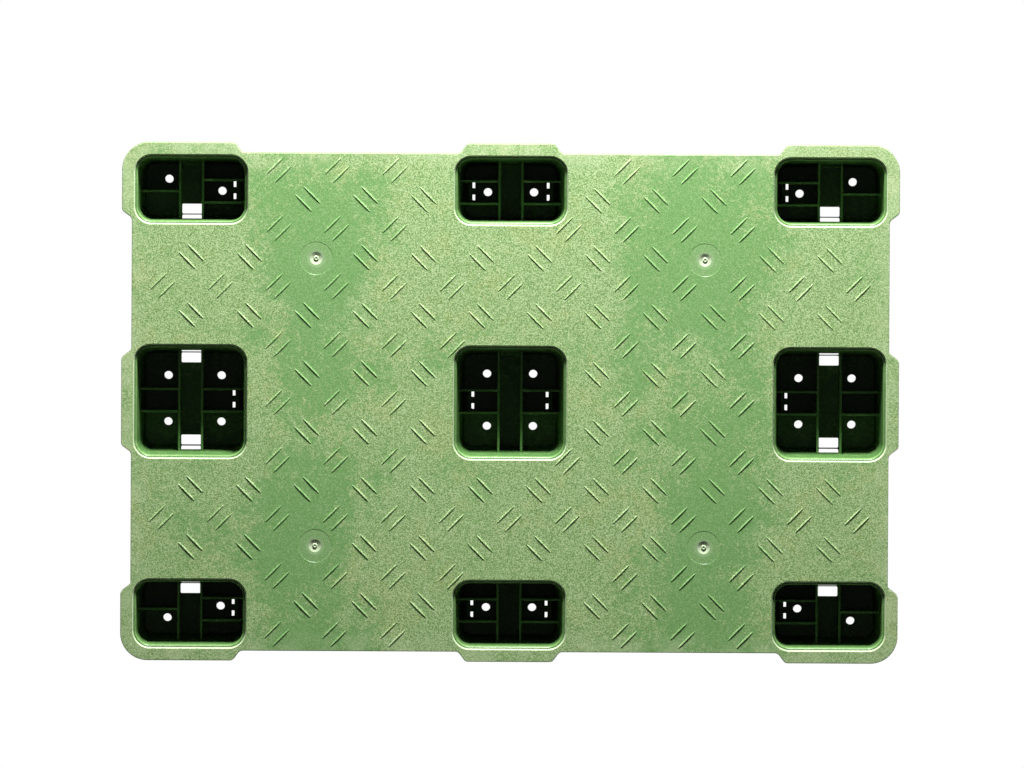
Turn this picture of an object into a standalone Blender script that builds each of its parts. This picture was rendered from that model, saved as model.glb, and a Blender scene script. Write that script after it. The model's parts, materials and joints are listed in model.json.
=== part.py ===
"""A nine-leg plastic pallet, 1200 x 800 mm, with three clip-on runners.

The origin is on the floor under the pallet's centre. +X runs along its length and its runners,
+Y across them, and +Z up. The deck and the nine legs are regions of one moulding. Each runner
clips into the leg floors with four snap hooks.
"""
from math import atan2, ceil, cos, hypot, pi, radians, sin, tan

import bmesh
import bpy
from mathutils import Matrix, Vector

# Overall sizes, in metres like everything else here
LENGTH = 1.200
WIDTH = 0.800
HEIGHT = 0.150
GAP = 0.0003  # between pieces that touch

# Deck: a skin with a skirt and ribs under it
SKIN = 0.0045
DECK_DEPTH = 0.032
SKIRT_WALL = 0.0036
EDGE_STEP = 0.0154  # how far the deck edge sits back between the legs
EDGE_CHAMFER = 0.0015
CORNER_RADIUS = 0.042
TAB_SLANT = 0.0115
TAB_SHORT = 0.0215  # how much shorter a tab's half-length is than its pocket's
TAB_FILLET = 0.008
DECK_RIB = 0.0035
DECK_RIB_PITCH = 0.090

# Tread bars, in pairs whose direction alternates over a square lattice
TREAD_HEIGHT = 0.0012
TREAD_LENGTH = 0.040
TREAD_WIDTH = 0.0047
TREAD_PAIR_GAP = 0.018
TREAD_PITCH = 0.0895
TREAD_CLEAR = 0.001  # between a bar and a rim, an edge or a gate disc
TREAD_ROOT = 0.001

# Injection gates
GATE_X = 0.300
GATE_Y = 0.222
GATE_DISC_RADIUS = 0.0255
GATE_DISC_DEPTH = 0.0003
GATE_DIMPLE_RADIUS = 0.0105
GATE_DIMPLE_DEPTH = 0.0020
GATE_NUB_RADIUS = 0.0030
GATE_NUB_HEIGHT = 0.0014

# Pockets and legs
POCKET_LENGTH = 0.177
POCKET_WIDTH_OUTER = 0.109
POCKET_WIDTH_MIDDLE = 0.178
POCKET_RADIUS = 0.028
POCKET_MARGIN = 0.018  # from a pocket's rim to the pallet's outermost edge
RIM_CHAMFER = 0.0030
LEDGE = 0.003
LEDGE_LAP = 0.0035  # how far a leg's collar reaches under the deck skin
COLLAR = 0.004
LEG_WALL = 0.004
LEG_FLOOR = 0.004
LEG_FOOT_CHAMFER = 0.003
WALL_DRAFT = 0.011  # a wall leans in this much from its ledge to its floor
WALL_DRAFT_INNER = 0.0025  # the same for a wall that faces the middle column or row
CORNER_DRAFT = 0.0075  # the corner radius shrinks this much over the same height

# Ribs inside the legs
LEG_RIB = 0.0038
CHANNEL_CLEAR = 0.0315
LANE_CLEAR = 0.0308
LEG_RIB_DROP = 0.055  # from the deck's surface to the rib tops

# Snap hooks
HOOK_THICKNESS = 0.0066
HOOK_SIDE_CLEAR = 0.0009  # between a tongue and the ribs on either side
HOOK_WIDTH = LANE_CLEAR - 2 * HOOK_SIDE_CLEAR
HOOK_SLIT = 0.0042  # between a tongue and the window edge that its nose catches
HOOK_FLEX_ROOM = 0.0045  # behind a tongue, for it to spring back into
NOSE_WIDTH = 0.0100
NOSE_CATCH = 0.0022
NOSE_HEIGHT = 0.0055
NOSE_TIP = 0.0020
SLOT_CLEAR = 0.0006

# Floor windows, for the runners' hooks and for optional cross runners
WINDOW_DEPTH = HOOK_SLIT + HOOK_THICKNESS + HOOK_FLEX_ROOM
WINDOW_BACK = 0.0007  # material left between a window and the wall
WINDOW_BACK_INNER = 0.0050  # the same for an open window at a wall that faces the middle row
WINDOW_SIDE_CLEAR = 0.0004
WALL_WINDOW_BAR = 0.0015
WALL_WINDOW_HEIGHT = 0.050

# Drain holes, from the leg centre, or from the lane in the outer rows
DRAIN_RADIUS = 0.0065
DRAIN_X = 0.0357
DRAIN_X_INNER = 0.0465
DRAIN_Y_CENTRE_LEG = 0.0405
DRAIN_Y_SIDE_LEG = 0.0358
DRAIN_Y_OUTER_ROW = 0.0015
DRAIN_Y_CORNER_LEG = 0.0168

# Runners: open-topped trays with cross walls
RUNNER_HEIGHT = 0.022
RUNNER_END_INSET = 0.022
RUNNER_WIDTH_MIDDLE = 0.105
RUNNER_WALL = 0.004
RUNNER_FLOOR = 0.004
RUNNER_RIB = 0.0032
RUNNER_RADIUS = 0.014
RUNNER_FOOT_CHAMFER = 0.002
RUNNER_BAYS = 3  # between one leg and the next
BOSS_WALL = 0.0035
NOTCH_CLEAR = 0.001

CORNER_STEPS = 5
DECK_CORNER_STEPS = 8
ROUND_STEPS = 12
DISC_STEPS = 20
BOSS_STEPS = 8
ROOT_STEPS = 6
OVERSHOOT = 0.002  # how far a cutter passes through a face that it opens
DIMPLE_OVERSHOOT = 0.0005  # the same for a gate's dimple, whose cutter keeps widening

# Levels, from the floor up
DECK_TOP = HEIGHT - TREAD_HEIGHT
DECK_UNDER = DECK_TOP - SKIN
DECK_LOW = DECK_TOP - DECK_DEPTH
COLLAR_TOP = DECK_UNDER - GAP
FLOOR_LOW = RUNNER_HEIGHT + GAP
FLOOR_TOP = FLOOR_LOW + LEG_FLOOR
LEG_RIB_TOP = DECK_TOP - LEG_RIB_DROP
WALL_WINDOW_TOP = FLOOR_TOP + WALL_WINDOW_HEIGHT

# Leg centres
LEG_X = LENGTH / 2 - POCKET_MARGIN - POCKET_LENGTH / 2
LEG_Y = WIDTH / 2 - POCKET_MARGIN - POCKET_WIDTH_OUTER / 2
CHANNEL_RIB_X = (CHANNEL_CLEAR + LEG_RIB) / 2
LANE_RIB_Y = (LANE_CLEAR + LEG_RIB) / 2

COLUMNS = {-1: "left", 0: "middle", 1: "right"}
ROWS = {-1: "front", 0: "middle", 1: "back"}


def empty_scene():
    for old in list(bpy.data.objects):
        bpy.data.objects.remove(old, do_unlink=True)


def new_collection(name):
    collection = bpy.data.collections.new(name)
    bpy.context.scene.collection.children.link(collection)
    return collection


def plastic(name, colour, roughness):
    """Moulded polyethylene, in one colour."""
    material = bpy.data.materials.new(name)
    material.use_nodes = True
    shader = material.node_tree.nodes["Principled BSDF"]
    shader.inputs["Base Color"].default_value = (*colour, 1)
    shader.inputs["Roughness"].default_value = roughness
    shader.inputs["Metallic"].default_value = 0
    return material


def new_object(name, bm, collection, material=None):
    """An object from a bmesh, which is freed. A piece without a material is a cutter or an addition."""
    bmesh.ops.recalc_face_normals(bm, faces=bm.faces)
    mesh = bpy.data.meshes.new(name)
    bm.to_mesh(mesh)
    bm.free()
    obj = bpy.data.objects.new(name, mesh)
    collection.objects.link(obj)
    if material:
        mesh.materials.append(material)
        mesh.shade_smooth()
        mesh.set_sharp_from_angle(angle=radians(30))
    else:
        obj.hide_render = True
        obj.display_type = "WIRE"
    return obj


def rounded(corners, steps):
    """Points of a closed outline given as (x, y, radius) corners, each turned with an arc."""
    points = []
    for i, (x, y, radius) in enumerate(corners):
        corner = Vector((x, y))
        back = (Vector(corners[i - 1][:2]) - corner).normalized()
        ahead = (Vector(corners[(i + 1) % len(corners)][:2]) - corner).normalized()
        half = back.angle(ahead) / 2
        centre = corner + (back + ahead).normalized() * radius / sin(half)
        start = corner + back * radius / tan(half) - centre
        end = corner + ahead * radius / tan(half) - centre
        turn = atan2(start.cross(end), start.dot(end))
        count = steps(radius)
        points += [
            centre + Matrix.Rotation(turn * k / count, 2) @ start for k in range(count + 1)
        ]
    return points


def inset(corners, distance):
    """The same outline, run counter-clockwise, moved in by a distance."""
    moved = []
    for i, (x, y, radius) in enumerate(corners):
        corner = Vector((x, y))
        before = (corner - Vector(corners[i - 1][:2])).normalized()
        after = (Vector(corners[(i + 1) % len(corners)][:2]) - corner).normalized()
        normal_before = Vector((-before.y, before.x))
        normal_after = Vector((-after.y, after.x))
        shift = (normal_before + normal_after) * distance / (1 + normal_before.dot(normal_after))
        convex = before.cross(after) > 0
        moved.append((*(corner + shift), radius - distance if convex else radius + distance))
    return moved


def pocket_steps(_radius):
    return CORNER_STEPS


def deck_steps(radius):
    """Fine arcs at the deck's four corners, and a single chord on the small tab fillets."""
    return DECK_CORNER_STEPS if radius > CORNER_RADIUS / 2 else 1


def add_loft(bm, rings):
    """A closed solid through (points, z) rings with equal point counts, capped at both ends."""
    loops = [[bm.verts.new((x, y, z)) for x, y in points] for points, z in rings]
    for lower, upper in zip(loops, loops[1:]):
        for i in range(len(lower)):
            j = (i + 1) % len(lower)
            bm.faces.new((lower[i], lower[j], upper[j], upper[i]))
    bm.faces.new(loops[0][::-1])
    bm.faces.new(loops[-1])


def add_tapered_box(bm, low, high, top_low=None, top_high=None):
    """A box whose top face may have its own extents in X and Y."""
    verts = bmesh.ops.create_cube(bm, size=1)["verts"]
    for vert in verts:
        up = vert.co.z > 0
        least = top_low if up and top_low else low
        most = top_high if up and top_high else high
        x = most[0] if vert.co.x > 0 else least[0]
        y = most[1] if vert.co.y > 0 else least[1]
        vert.co = (x, y, high[2] if up else low[2])


def add_cylinder(bm, x, y, radius, low, high, top_radius=None, steps=ROUND_STEPS):
    """An upright cylinder or cone."""
    bmesh.ops.create_cone(
        bm,
        cap_ends=True,
        segments=steps,
        radius1=radius,
        radius2=radius if top_radius is None else top_radius,
        depth=high - low,
        matrix=Matrix.Translation((x, y, (low + high) / 2)),
    )


def add_prism(bm, profile, width):
    """A flat outline of (x, z) points, extruded evenly to both sides along Y."""
    front = [bm.verts.new((x, -width / 2, z)) for x, z in profile]
    back = [bm.verts.new((x, width / 2, z)) for x, z in profile]
    for i in range(len(profile)):
        j = (i + 1) % len(profile)
        bm.faces.new((front[i], front[j], back[j], back[i]))
    bm.faces.new(front)
    bm.faces.new(back[::-1])


def combine(target, other, operation):
    """A Boolean on target, with an object that shares its place."""
    other.location = target.location
    modifier = target.modifiers.new(other.name, "BOOLEAN")
    modifier.operation = operation
    modifier.solver = "EXACT"
    modifier.object = other


def leg_name(column, row):
    if column == 0 and row == 0:
        return "leg_centre"
    return f"leg_{ROWS[row]}_{COLUMNS[column]}"


def pocket_half(row):
    """Half the length and half the width of a pocket's rim."""
    width = POCKET_WIDTH_MIDDLE if row == 0 else POCKET_WIDTH_OUTER
    return POCKET_LENGTH / 2, width / 2


def drafts(column, row):
    """How far the four walls lean in: towards -X, +X, -Y and +Y."""
    inner = (column == 1, column == -1, row == 1, row == -1)
    return [WALL_DRAFT_INNER if faces_middle else WALL_DRAFT for faces_middle in inner]


def lean(z):
    """0 at the ledge and 1 at the leg floor."""
    return (COLLAR_TOP - z) / (COLLAR_TOP - FLOOR_TOP)


def wall_extents(column, row, z):
    """Where the inner wall faces are at a height: least X, most X, least Y, most Y."""
    half_x, half_y = pocket_half(row)
    set_back = RIM_CHAMFER + LEDGE
    minus_x, plus_x, minus_y, plus_y = [draft * lean(z) for draft in drafts(column, row)]
    return (
        -half_x + set_back + minus_x,
        half_x - set_back - plus_x,
        -half_y + set_back + minus_y,
        half_y - set_back - plus_y,
    )


def wall_ring(column, row, z, outward, shape_z=None):
    """A ring round a leg at height z, a distance outward from the inner wall face."""
    level = z if shape_z is None else shape_z
    x0, x1, y0, y1 = wall_extents(column, row, level)
    radius = POCKET_RADIUS - RIM_CHAMFER - LEDGE - CORNER_DRAFT * lean(level) + outward
    x0, x1, y0, y1 = x0 - outward, x1 + outward, y0 - outward, y1 + outward
    corners = [(x0, y0, radius), (x1, y0, radius), (x1, y1, radius), (x0, y1, radius)]
    return rounded(corners, pocket_steps), z


def pocket_ring(row, z, outward):
    """A ring round a pocket's rim, a distance outward from it."""
    x, y = [half + outward for half in pocket_half(row)]
    radius = POCKET_RADIUS + outward
    corners = [(-x, -y, radius), (x, -y, radius), (x, y, radius), (-x, y, radius)]
    return [Vector(p) for p in rounded(corners, pocket_steps)], z


def moved_ring(ring, x, y):
    points, z = ring
    return [(px + x, py + y) for px, py in points], z


def deck_corners():
    """The deck's outline, counter-clockwise, with a tab at each leg."""
    half_x, half_y = LENGTH / 2, WIDTH / 2
    sides = (
        (half_x, half_y, LEG_X, pocket_half(1)[0], pocket_half(1)[0]),
        (half_y, half_x, LEG_Y, pocket_half(1)[1], pocket_half(0)[1]),
    )
    corners = []
    for turn in range(4):
        half, out, leg, corner_pocket, middle_pocket = sides[turn % 2]
        end_tab = leg - (corner_pocket - TAB_SHORT)
        middle_tab = middle_pocket - TAB_SHORT
        back = -out + EDGE_STEP
        side = [(-half, -out, CORNER_RADIUS)]
        for along, depth in (
            (-end_tab, -out),
            (-end_tab + TAB_SLANT, back),
            (-middle_tab - TAB_SLANT, back),
            (-middle_tab, -out),
            (middle_tab, -out),
            (middle_tab + TAB_SLANT, back),
            (end_tab - TAB_SLANT, back),
            (end_tab, -out),
        ):
            side.append((along, depth, TAB_FILLET))
        rotation = Matrix.Rotation(turn * pi / 2, 2)
        corners += [(*(rotation @ Vector((x, y))), radius) for x, y, radius in side]
    return corners


def rounded_distance(x, y, half_x, half_y, radius):
    """How far a point is outside a rounded rectangle, negative inside."""
    dx = abs(x) - half_x + radius
    dy = abs(y) - half_y + radius
    return hypot(max(dx, 0), max(dy, 0)) + min(max(dx, dy), 0) - radius


def on_open_deck(x, y):
    """Whether a point of a tread bar is clear of the deck's edges, pockets and gates."""
    reach = TREAD_CLEAR + TREAD_WIDTH / 2
    if abs(x) > LENGTH / 2 - EDGE_STEP - reach or abs(y) > WIDTH / 2 - EDGE_STEP - reach:
        return False
    for column in COLUMNS:
        for row in ROWS:
            half_x, half_y = pocket_half(row)
            from_leg = (x - column * LEG_X, y - row * LEG_Y)
            if rounded_distance(*from_leg, half_x, half_y, POCKET_RADIUS) < reach:
                return False
    return hypot(abs(x) - GATE_X, abs(y) - GATE_Y) > GATE_DISC_RADIUS + reach


def tread_bars():
    """Centre and direction of each bar: rising pairs on the lattice, falling pairs between them."""
    across = ceil(LENGTH / TREAD_PITCH)
    bars = []
    for i in range(-across, across + 1):
        for j in range(-across, across + 1):
            if (i + j) % 2:
                continue
            centre = Vector((i, j)) * TREAD_PITCH / 2
            slope = 1 if i % 2 == 0 else -1
            along = Vector((1, slope)).normalized()
            aside = Vector((-along.y, along.x)) * TREAD_PAIR_GAP / 2
            pair = [centre + aside, centre - aside]
            reach = along * TREAD_LENGTH / 2
            if all(on_open_deck(*(bar + reach * k)) for bar in pair for k in (-1, 0, 1)):
                bars += [(bar, along) for bar in pair]
    return bars


def add_tread_bar(bm, centre, along):
    """A low ridge with a pointed end each way, rooted a little way into the skin."""
    aside = Vector((-along.y, along.x))
    tips = [along * TREAD_LENGTH / 2, aside * TREAD_WIDTH / 2]
    foot = [centre + offset for offset in (tips[0], tips[1], -tips[0], -tips[1])]
    low = [bm.verts.new((*p, DECK_TOP - TREAD_ROOT)) for p in foot]
    mid = [bm.verts.new((*p, DECK_TOP)) for p in foot]
    ridge = [bm.verts.new((*(centre + s * tips[0] / 3), HEIGHT)) for s in (1, -1)]
    for i in range(4):
        j = (i + 1) % 4
        bm.faces.new((low[i], low[j], mid[j], mid[i]))
    bm.faces.new(low[::-1])
    bm.faces.new((mid[0], mid[1], ridge[0]))
    bm.faces.new((mid[1], ridge[1], ridge[0]))
    bm.faces.new((mid[1], mid[2], ridge[1]))
    bm.faces.new((mid[2], mid[3], ridge[1]))
    bm.faces.new((mid[3], ridge[0], ridge[1]))
    bm.faces.new((mid[3], mid[0], ridge[0]))


def make_deck(parts, cutters, material):
    """The skin, with its tread, pocket rims and gates, over a skirt and a grid of ribs."""
    outline = deck_corners()
    bm = bmesh.new()
    add_loft(
        bm,
        [
            (rounded(outline, deck_steps), DECK_LOW),
            (rounded(outline, deck_steps), DECK_TOP - EDGE_CHAMFER),
            (rounded(inset(outline, EDGE_CHAMFER), deck_steps), DECK_TOP),
        ],
    )
    deck = new_object("deck_panel", bm, parts, material)

    bm = bmesh.new()
    inside = rounded(inset(outline, SKIRT_WALL), deck_steps)
    add_loft(bm, [(inside, DECK_LOW - OVERSHOOT), (inside, DECK_UNDER)])
    bays = new_object("deck_bays", bm, cutters)
    bm = bmesh.new()
    ribs_x = ceil(LENGTH / 2 / DECK_RIB_PITCH)
    ribs_y = ceil(WIDTH / 2 / DECK_RIB_PITCH)
    bay = (DECK_RIB_PITCH - DECK_RIB) / 2
    for i in range(-ribs_x, ribs_x):
        for j in range(-ribs_y, ribs_y):
            x, y = (i + 0.5) * DECK_RIB_PITCH, (j + 0.5) * DECK_RIB_PITCH
            low = (x - bay, y - bay, DECK_LOW - 2 * OVERSHOOT)
            add_tapered_box(bm, low, (x + bay, y + bay, DECK_TOP))
    combine(bays, new_object("deck_bay_grid", bm, cutters), "INTERSECT")
    combine(deck, bays, "DIFFERENCE")

    bm = bmesh.new()
    for column in COLUMNS:
        for row in ROWS:
            outward = LEDGE_LAP - RIM_CHAMFER + GAP
            rings = (
                pocket_ring(row, DECK_LOW - OVERSHOOT, outward),
                pocket_ring(row, DECK_UNDER, outward),
            )
            add_loft(bm, [moved_ring(ring, column * LEG_X, row * LEG_Y) for ring in rings])
    combine(deck, new_object("deck_leg_seats", bm, cutters), "DIFFERENCE")

    bm = bmesh.new()
    for column in COLUMNS:
        for row in ROWS:
            rings = (
                pocket_ring(row, DECK_UNDER - OVERSHOOT, -RIM_CHAMFER),
                pocket_ring(row, DECK_TOP - RIM_CHAMFER, -RIM_CHAMFER),
                pocket_ring(row, DECK_TOP + OVERSHOOT, OVERSHOOT),
            )
            add_loft(bm, [moved_ring(ring, column * LEG_X, row * LEG_Y) for ring in rings])
    combine(deck, new_object("deck_pockets", bm, cutters), "DIFFERENCE")

    bm = bmesh.new()
    for bar, along in tread_bars():
        add_tread_bar(bm, bar, along)
    combine(deck, new_object("deck_tread", bm, cutters), "UNION")

    discs, dimples, nubs = bmesh.new(), bmesh.new(), bmesh.new()
    for x in (-GATE_X, GATE_X):
        for y in (-GATE_Y, GATE_Y):
            disc_floor = DECK_TOP - GATE_DISC_DEPTH
            dimple_floor = disc_floor - GATE_DIMPLE_DEPTH
            slope = (GATE_DIMPLE_RADIUS - GATE_NUB_RADIUS) / GATE_DIMPLE_DEPTH
            above = DIMPLE_OVERSHOOT
            add_cylinder(
                discs, x, y, GATE_DISC_RADIUS, disc_floor, DECK_TOP + OVERSHOOT, steps=DISC_STEPS
            )
            add_cylinder(
                dimples,
                x,
                y,
                GATE_NUB_RADIUS + 2 * GAP,
                dimple_floor,
                disc_floor + above,
                top_radius=GATE_DIMPLE_RADIUS + slope * above,
            )
            nub_top = dimple_floor + GATE_NUB_HEIGHT
            add_cylinder(nubs, x, y, GATE_NUB_RADIUS, dimple_floor - GAP, nub_top, steps=BOSS_STEPS)
    combine(deck, new_object("gate_discs", discs, cutters), "DIFFERENCE")
    combine(deck, new_object("gate_dimples", dimples, cutters), "DIFFERENCE")
    combine(deck, new_object("gate_nubs", nubs, cutters), "UNION")


def hook_sides(column):
    """On which sides of a leg a hook comes up: both in the middle column, else the inner one."""
    return (-1, 1) if column == 0 else (-column,)


def window_start(edge, back=WINDOW_BACK):
    """The near edge of a floor window, given the wall face behind it, both from the leg centre."""
    return edge - back - WINDOW_DEPTH


def floor_edge(column, row, side_x=0, side_y=0):
    """Distance from the leg centre to the inner wall face at the floor, on one side."""
    x0, x1, y0, y1 = wall_extents(column, row, FLOOR_TOP)
    if side_x:
        return x1 if side_x > 0 else -x0
    return y1 if side_y > 0 else -y0


def lane_y(row):
    """Where the lane is, from the leg centre: midway between the walls at the floor."""
    return (floor_edge(0, row, side_y=1) - floor_edge(0, row, side_y=-1)) / 2


def open_window_start(row, side):
    """The near edge of an open window, from the leg centre, on a side."""
    back = WINDOW_BACK_INNER if side == -row else WINDOW_BACK
    return window_start(floor_edge(-1, row, side_y=side), back)


def drain_holes(column, row):
    """Drain hole centres, from the leg centre."""
    lane_hole_y = lane_y(row) - row * DRAIN_Y_OUTER_ROW
    if column == 0:
        if row:
            return [(x, lane_hole_y) for x in (-DRAIN_X, DRAIN_X)]
        return [(x, y) for x in (-DRAIN_X, DRAIN_X) for y in (-DRAIN_Y_CENTRE_LEG, DRAIN_Y_CENTRE_LEG)]
    inner, outer = -column * DRAIN_X_INNER, column * DRAIN_X
    if row == 0:
        return [(x, y) for x in (inner, outer) for y in (-DRAIN_Y_SIDE_LEG, DRAIN_Y_SIDE_LEG)]
    return [(inner, lane_hole_y), (outer, lane_y(row) + row * DRAIN_Y_CORNER_LEG)]


def open_window_sides(column, row):
    """On which sides of a leg the windows for optional cross runners are: -1, 1 or both."""
    if column == 0:
        return ()
    return (-1, 1) if row == 0 else (-row,)


def make_leg(column, row, parts, cutters, material):
    """A drafted, hollow leg under its pocket, with a collar that backs the deck's ledge."""
    name = leg_name(column, row)
    place = Vector((column * LEG_X, row * LEG_Y, 0))
    bm = bmesh.new()
    collar_out = LEDGE + LEDGE_LAP
    add_loft(
        bm,
        [
            wall_ring(column, row, FLOOR_LOW, LEG_WALL - LEG_FOOT_CHAMFER, FLOOR_TOP),
            wall_ring(column, row, FLOOR_LOW + LEG_FOOT_CHAMFER, LEG_WALL, FLOOR_TOP),
            wall_ring(column, row, COLLAR_TOP - COLLAR, LEG_WALL),
            wall_ring(column, row, COLLAR_TOP - COLLAR, collar_out, COLLAR_TOP),
            wall_ring(column, row, COLLAR_TOP, collar_out),
            wall_ring(column, row, COLLAR_TOP, 0),
            wall_ring(column, row, FLOOR_TOP, 0),
        ],
    )
    leg = new_object(name, bm, parts, material)
    leg.location = place

    foot = FLOOR_TOP - LEG_FLOOR / 2
    into_wall = LEG_WALL / 2
    low_x0, low_x1, low_y0, low_y1 = wall_extents(column, row, foot)
    top_x0, top_x1, top_y0, top_y1 = wall_extents(column, row, LEG_RIB_TOP)
    bm = bmesh.new()
    for x in (-CHANNEL_RIB_X, CHANNEL_RIB_X):
        x0, x1 = x - LEG_RIB / 2, x + LEG_RIB / 2
        add_tapered_box(
            bm,
            (x0, low_y0 - into_wall, foot),
            (x1, low_y1 + into_wall, LEG_RIB_TOP),
            (x0, top_y0 - into_wall),
            (x1, top_y1 + into_wall),
        )
    combine(leg, new_object(f"{name}_channel_ribs", bm, cutters), "UNION")

    bm = bmesh.new()
    for side in (-1, 1):
        one_rib = row and side == column
        for offset in (0,) if one_rib else (-LANE_RIB_Y, LANE_RIB_Y):
            y = lane_y(row) + offset
            y0, y1 = y - LEG_RIB / 2, y + LEG_RIB / 2
            near = side * CHANNEL_RIB_X
            low_far = low_x1 + into_wall if side > 0 else low_x0 - into_wall
            top_far = top_x1 + into_wall if side > 0 else top_x0 - into_wall
            add_tapered_box(
                bm,
                (min(near, low_far), y0, foot),
                (max(near, low_far), y1, LEG_RIB_TOP),
                (min(near, top_far), y0),
                (max(near, top_far), y1),
            )
    combine(leg, new_object(f"{name}_lane_ribs", bm, cutters), "UNION")

    bm = bmesh.new()
    for x, y in drain_holes(column, row):
        add_cylinder(bm, x, y, DRAIN_RADIUS, FLOOR_LOW - OVERSHOOT, FLOOR_TOP + OVERSHOOT)
    half = LANE_CLEAR / 2 - WINDOW_SIDE_CLEAR
    for side in hook_sides(column):
        start = side * window_start(floor_edge(column, row, side_x=side))
        end = start + side * WINDOW_DEPTH
        low = (min(start, end), lane_y(row) - half, FLOOR_LOW - OVERSHOOT)
        high = (max(start, end), lane_y(row) + half, FLOOR_TOP + OVERSHOOT)
        add_tapered_box(bm, low, high)
    half = CHANNEL_CLEAR / 2 - WINDOW_SIDE_CLEAR
    for side in open_window_sides(column, row):
        edge = floor_edge(column, row, side_y=side)
        start = side * open_window_start(row, side)
        end = start + side * WINDOW_DEPTH
        low = (-half, min(start, end), FLOOR_LOW - OVERSHOOT)
        add_tapered_box(bm, low, (half, max(start, end), FLOOR_TOP + OVERSHOOT))
        start = end + side * WALL_WINDOW_BAR
        end = side * (edge + LEG_WALL + WALL_DRAFT)
        low = (-half, min(start, end), FLOOR_LOW - OVERSHOOT)
        add_tapered_box(bm, low, (half, max(start, end), WALL_WINDOW_TOP))
    combine(leg, new_object(f"{name}_openings", bm, cutters), "DIFFERENCE")


def tongue_place(column, row, side):
    """Where a hook's hinge line is in X, from the leg centre."""
    start = window_start(floor_edge(column, row, side_x=side))
    return side * (start + HOOK_SLIT + HOOK_THICKNESS / 2)


def runner_half_width(row):
    """An outer runner is as wide as the leg floors on it."""
    if row == 0:
        return RUNNER_WIDTH_MIDDLE / 2
    return (floor_edge(0, row, side_y=1) + floor_edge(0, row, side_y=-1)) / 2 + LEG_WALL


def runner_walls(row):
    """Where the cross walls are in X: beside each hook, and evenly between the legs."""
    walls = []
    for column in COLUMNS:
        for side in hook_sides(column):
            tongue = tongue_place(column, row, side)
            near = tongue - side * (HOOK_THICKNESS / 2 + HOOK_SLIT + NOSE_CATCH + SLOT_CLEAR)
            far = side * floor_edge(column, row, side_x=side)
            walls.append(column * LEG_X + near - side * RUNNER_RIB)
            walls.append(column * LEG_X + far + side * LEG_WALL)
    walls.sort()
    spans = [(walls[1], walls[2]), (walls[5], walls[6])]
    for start, end in spans:
        walls += [start + (end - start) * k / RUNNER_BAYS for k in range(1, RUNNER_BAYS)]
    return sorted(walls)


def make_runner(row, parts, cutters, material):
    """An open-topped tray with a flat sole, cross walls, drain bosses and a slot at each hook."""
    name = f"runner_{ROWS[row]}"
    place = Vector((0, row * LEG_Y + lane_y(row), 0))
    half_x = LENGTH / 2 - RUNNER_END_INSET
    half_y = runner_half_width(row)

    def ring(z, distance):
        x, y, radius = half_x - distance, half_y - distance, RUNNER_RADIUS - distance
        corners = [(-x, -y, radius), (x, -y, radius), (x, y, radius), (-x, y, radius)]
        return rounded(corners, pocket_steps), z

    bm = bmesh.new()
    add_loft(bm, [ring(0, RUNNER_FOOT_CHAMFER), ring(RUNNER_FOOT_CHAMFER, 0), ring(RUNNER_HEIGHT, 0)])
    runner = new_object(name, bm, parts, material)
    runner.location = place

    # A notch lets light and cross runners through where an end leg has an open window.
    notch_half = CHANNEL_CLEAR / 2 + NOTCH_CLEAR
    notches = []
    for side in open_window_sides(-1, row):
        notch_start = open_window_start(row, side) - side * lane_y(row) - NOTCH_CLEAR
        if notch_start < half_y:
            notches += [(column, side, notch_start) for column in (-1, 1)]

    end_wall = half_x - RUNNER_WALL + RUNNER_RIB / 2
    walls = [-end_wall, *runner_walls(row), end_wall]
    rib = LANE_RIB_Y + RUNNER_RIB / 2
    side_wall = half_y - RUNNER_WALL
    lanes = ((-side_wall, -rib), (-rib + RUNNER_RIB, rib - RUNNER_RIB), (rib, side_wall))
    bm = bmesh.new()
    for start, end in zip(walls, walls[1:]):
        for lane, (y0, y1) in enumerate(lanes, -1):
            pieces = [(start + RUNNER_RIB / 2, end - RUNNER_RIB / 2)]
            for column, side, _start in notches:
                near = column * LEG_X - notch_half - RUNNER_RIB
                far = column * LEG_X + notch_half + RUNNER_RIB
                if lane == side and start < near and far < end:
                    pieces = [(pieces[0][0], near), (far, pieces[0][1])]
            for x0, x1 in pieces:
                add_tapered_box(bm, (x0, y0, RUNNER_FLOOR), (x1, y1, RUNNER_HEIGHT + OVERSHOOT))
    combine(runner, new_object(f"{name}_bays", bm, cutters), "DIFFERENCE")

    holes = [
        (column * LEG_X + x, y - lane_y(row))
        for column in COLUMNS
        for x, y in drain_holes(column, row)
    ]
    bm = bmesh.new()
    for x, y in holes:
        radius = DRAIN_RADIUS + BOSS_WALL
        add_cylinder(bm, x, y, radius, RUNNER_FLOOR / 2, RUNNER_HEIGHT, steps=BOSS_STEPS)
    combine(runner, new_object(f"{name}_bosses", bm, cutters), "UNION")

    bm = bmesh.new()
    for x, y in holes:
        add_cylinder(bm, x, y, DRAIN_RADIUS, -OVERSHOOT, RUNNER_HEIGHT + OVERSHOOT)
    for column in COLUMNS:
        for side in hook_sides(column):
            tongue = column * LEG_X + tongue_place(column, row, side)
            near = tongue - side * (HOOK_THICKNESS / 2)
            far = near - side * (HOOK_SLIT + NOSE_CATCH)
            low = (min(near, far), -LANE_CLEAR / 2 + RUNNER_RIB / 4, -OVERSHOOT)
            high = (max(near, far), LANE_CLEAR / 2 - RUNNER_RIB / 4, RUNNER_FLOOR + OVERSHOOT)
            add_tapered_box(bm, low, high)
    for column, side, notch_start in notches:
        centre = column * LEG_X
        start, end = side * notch_start, side * (half_y + OVERSHOOT)
        low = (centre - notch_half, min(start, end), -OVERSHOOT)
        add_tapered_box(bm, low, (centre + notch_half, max(start, end), RUNNER_HEIGHT + OVERSHOOT))
    combine(runner, new_object(f"{name}_openings", bm, cutters), "DIFFERENCE")


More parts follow.
